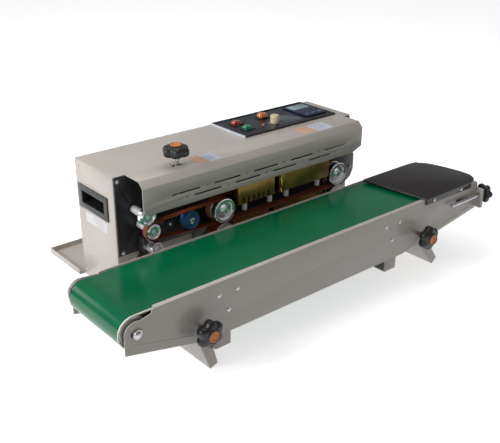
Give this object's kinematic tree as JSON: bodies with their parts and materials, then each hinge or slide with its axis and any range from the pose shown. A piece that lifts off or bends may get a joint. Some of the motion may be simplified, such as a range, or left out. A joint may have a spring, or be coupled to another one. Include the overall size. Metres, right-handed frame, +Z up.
{
  "type": "continuous band sealer",
  "caption": "Table-top bag sealer: slotted hood over motor-driven sealing bands, green belt conveyor in front with black end table, folding legs, top control panel and pressure knob.",
  "frame": {"origin": "centre of the bounding box at the level the feet stand on", "axes": "+X along the conveyor from its head roller to its loading table, +Y from the operator to the back, +Z up"},
  "size_m": [0.8676, 0.502, 0.302],
  "materials": {
    "ivory_paint": "smooth baked enamel, satin",
    "black_steel": "black baked enamel, satin",
    "black_table": "semi-gloss black-brown enamel",
    "navy_panel": "dark navy printed panel",
    "green_belt": "glossy conveyor belting",
    "brown_band": "red-brown band and belt",
    "chrome": "bright plate",
    "steel": "turned and zinc-plated",
    "brass": "aged milled brass",
    "blue_plastic": "turned blue plastic",
    "black_plastic": "moulded",
    "white_plastic": "moulded",
    "cream_plastic": "moulded, glossy",
    "red_lens": "translucent red",
    "green_lens": "translucent green",
    "orange_lens": "translucent orange",
    "controller_blue": "deep blue face",
    "green_board": "solder-masked board"
  },
  "bodies": {
    "frame": {"conveyor_front_plate": "ivory_paint", "conveyor_back_plate": "ivory_paint", "slider_bed": "steel", "conveyor_belt": "green_belt", "end_table": "black_table", "base_foot_left": "ivory_paint", "base_foot_right": "ivory_paint", "rear_tray": "ivory_paint", "cabinet_shell": "ivory_paint", "rear_cover": "ivory_paint", "handle_cup_left": "black_plastic", "handle_cup_right": "black_plastic", "top_cover": "ivory_paint", "control_panel": "navy_panel", "temperature_controller": "controller_blue", "power_inlet": "black_plastic", "mounting_plate": "black_steel", "upper_seal_band": "brown_band", "lower_seal_band": "brown_band", "lower_guide_belt": "brown_band", "upper_guide_belt": "brown_band", "support_bracket": "black_steel", "lower_cooling_block": "brass", "lower_heating_block": "brass", "block_hanger": "black_steel", "gear_motor": "steel", "conveyor_chain": "steel", "head_chain": "steel", "control_board": "green_board", "fan_frame": "black_plastic"},
    "drive_roller": {"drive_roller": "steel"},
    "tail_roller": {"tail_roller": "steel"},
    "output_shaft": {"output_shaft": "steel"},
    "lower_left_wheel": {"lower_left_wheel": "chrome", "lower_drive_gear": "steel"},
    "upper_left_wheel": {"upper_left_wheel": "chrome", "upper_drive_gear": "steel"},
    "upper_right_wheel": {"upper_right_wheel": "chrome"},
    "lower_right_wheel": {"lower_right_wheel": "chrome"},
    "nose_pulley": {"nose_pulley": "chrome"},
    "tension_pulley": {"tension_pulley": "chrome"},
    "support_roller": {"support_roller": "chrome"},
    "press_arm": {"press_arm": "black_steel"},
    "press_wheel": {"press_wheel": "blue_plastic"},
    "pressure_knob": {"pressure_knob": "black_plastic"},
    "left_leg": {"left_leg": "ivory_paint"},
    "right_leg": {"right_leg": "ivory_paint"},
    "left_leg_knob": {"left_leg_knob": "black_plastic"},
    "right_leg_knob": {"right_leg_knob": "black_plastic"},
    "tension_knob": {"tension_knob": "black_plastic"},
    "speed_knob": {"speed_knob": "cream_plastic"},
    "power_switch": {"power_switch": "red_lens"},
    "heater_switch": {"heater_switch": "green_lens"},
    "fan_switch": {"fan_switch": "orange_lens"},
    "controller_key_1": {"controller_key_1": "white_plastic"},
    "controller_key_2": {"controller_key_2": "white_plastic"},
    "controller_key_3": {"controller_key_3": "white_plastic"},
    "upper_heating_block": {"upper_heating_block": "brass"},
    "upper_cooling_block": {"upper_cooling_block": "brass"},
    "fan_rotor": {"fan_rotor": "black_plastic"}
  },
  "joints": [
    {"name": "drive_roller_spin", "type": "hinge", "parent": "frame", "child": "drive_roller", "pos_m": [-0.40675, -0.14, 0.1208], "axis": [0, 1, 0], "continuous": true},
    {"name": "tail_roller_spin", "type": "hinge", "parent": "frame", "child": "tail_roller", "pos_m": [0.36285, -0.14, 0.1208], "axis": [0, 1, 0], "continuous": true},
    {"name": "output_shaft_spin", "type": "hinge", "parent": "frame", "child": "output_shaft", "pos_m": [-0.25515, -0.015, 0.102], "axis": [0, 1, 0], "continuous": true},
    {"name": "lower_left_wheel_spin", "type": "hinge", "parent": "frame", "child": "lower_left_wheel", "pos_m": [-0.10615, -0.025, 0.1215], "axis": [0, 1, 0], "continuous": true},
    {"name": "upper_left_wheel_spin", "type": "hinge", "parent": "frame", "child": "upper_left_wheel", "pos_m": [-0.10615, -0.025, 0.1685], "axis": [0, 1, 0], "continuous": true},
    {"name": "upper_right_wheel_spin", "type": "hinge", "parent": "frame", "child": "upper_right_wheel", "pos_m": [0.18285, -0.025, 0.1685], "axis": [0, 1, 0], "continuous": true},
    {"name": "lower_right_wheel_spin", "type": "hinge", "parent": "frame", "child": "lower_right_wheel", "pos_m": [0.18285, -0.025, 0.1215], "axis": [0, 1, 0], "continuous": true},
    {"name": "nose_pulley_spin", "type": "hinge", "parent": "frame", "child": "nose_pulley", "pos_m": [-0.25615, -0.025, 0.1715], "axis": [0, 1, 0], "continuous": true},
    {"name": "tension_pulley_spin", "type": "hinge", "parent": "frame", "child": "tension_pulley", "pos_m": [-0.26615, -0.025, 0.2015], "axis": [0, 1, 0], "continuous": true},
    {"name": "support_roller_spin", "type": "hinge", "parent": "frame", "child": "support_roller", "pos_m": [-0.25115, -0.025, 0.1385], "axis": [0, 1, 0], "continuous": true},
    {"name": "press_arm_swing", "type": "hinge", "parent": "frame", "child": "press_arm", "pos_m": [-0.22275, -0.015, 0.176], "axis": [0, 1, 0], "range_deg": [-1, 0], "stiffness_Nm_per_rad": 20, "springref_deg": 1.15},
    {"name": "press_wheel_spin", "type": "hinge", "parent": "press_arm", "child": "press_wheel", "pos_m": [-0.17715, -0.03, 0.1695], "axis": [0, 1, 0], "continuous": true},
    {"name": "pressure_knob_turn", "type": "hinge", "parent": "frame", "child": "pressure_knob", "pos_m": [-0.18515, -0.009, 0.282], "axis": [0, 0, 1], "continuous": true},
    {"name": "left_leg_swing", "type": "hinge", "parent": "frame", "child": "left_leg", "pos_m": [-0.29375, -0.14, 0.0856], "axis": [0, 1, 0], "range_deg": [-8, 38]},
    {"name": "right_leg_swing", "type": "hinge", "parent": "frame", "child": "right_leg", "pos_m": [0.23185, -0.14, 0.0848], "axis": [0, 1, 0], "range_deg": [-30, 33]},
    {"name": "left_leg_knob_turn", "type": "hinge", "parent": "frame", "child": "left_leg_knob", "pos_m": [-0.29375, -0.23, 0.0856], "axis": [0, 1, 0], "continuous": true},
    {"name": "right_leg_knob_turn", "type": "hinge", "parent": "frame", "child": "right_leg_knob", "pos_m": [0.23185, -0.23, 0.0848], "axis": [0, 1, 0], "continuous": true},
    {"name": "tension_knob_turn", "type": "hinge", "parent": "frame", "child": "tension_knob", "pos_m": [0.41885, -0.2235, 0.122], "axis": [1, 0, 0], "continuous": true},
    {"name": "speed_knob_turn", "type": "hinge", "parent": "frame", "child": "speed_knob", "pos_m": [0.09685, 0.055, 0.2676], "axis": [0, 0, 1], "range_deg": [0, 280]},
    {"name": "power_switch_rock", "type": "hinge", "parent": "frame", "child": "power_switch", "pos_m": [0.03285, 0.097, 0.2676], "axis": [0, 1, 0], "range_deg": [-16, 0]},
    {"name": "heater_switch_rock", "type": "hinge", "parent": "frame", "child": "heater_switch", "pos_m": [0.03185, 0.061, 0.2676], "axis": [0, 1, 0], "range_deg": [-16, 0]},
    {"name": "fan_switch_rock", "type": "hinge", "parent": "frame", "child": "fan_switch", "pos_m": [0.10285, 0.099, 0.2676], "axis": [0, 1, 0], "range_deg": [-16, 0]},
    {"name": "controller_key_1_press", "type": "slide", "parent": "frame", "child": "controller_key_1", "axis": [0, 0, -1], "range_m": [0, 0.0006], "stiffness_N_per_m": 500},
    {"name": "controller_key_2_press", "type": "slide", "parent": "frame", "child": "controller_key_2", "axis": [0, 0, -1], "range_m": [0, 0.0006], "stiffness_N_per_m": 500},
    {"name": "controller_key_3_press", "type": "slide", "parent": "frame", "child": "controller_key_3", "axis": [0, 0, -1], "range_m": [0, 0.0006], "stiffness_N_per_m": 500},
    {"name": "heating_block_float", "type": "slide", "parent": "frame", "child": "upper_heating_block", "axis": [0, 0, 1], "range_m": [0, 0.003], "stiffness_N_per_m": 3000, "springref_m": -0.004},
    {"name": "cooling_block_float", "type": "slide", "parent": "frame", "child": "upper_cooling_block", "axis": [0, 0, 1], "range_m": [0, 0.003], "stiffness_N_per_m": 3000, "springref_m": -0.004},
    {"name": "fan_rotor_spin", "type": "hinge", "parent": "frame", "child": "fan_rotor", "pos_m": [-0.00715, 0.12, 0.19], "axis": [0, 1, 0], "continuous": true}
  ],
  "couplings": [
    {"joint": "tail_roller_spin", "follows": "drive_roller_spin", "ratio": 1},
    {"joint": "output_shaft_spin", "follows": "drive_roller_spin", "ratio": 1},
    {"joint": "lower_left_wheel_spin", "follows": "drive_roller_spin", "ratio": 1.1429},
    {"joint": "lower_right_wheel_spin", "follows": "drive_roller_spin", "ratio": 1.1429},
    {"joint": "upper_left_wheel_spin", "follows": "drive_roller_spin", "ratio": -1.1429},
    {"joint": "upper_right_wheel_spin", "follows": "drive_roller_spin", "ratio": -1.1429},
    {"joint": "nose_pulley_spin", "follows": "drive_roller_spin", "ratio": -1.7573},
    {"joint": "tension_pulley_spin", "follows": "drive_roller_spin", "ratio": 1.7215},
    {"joint": "press_wheel_spin", "follows": "drive_roller_spin", "ratio": -1.4952}
  ]
}
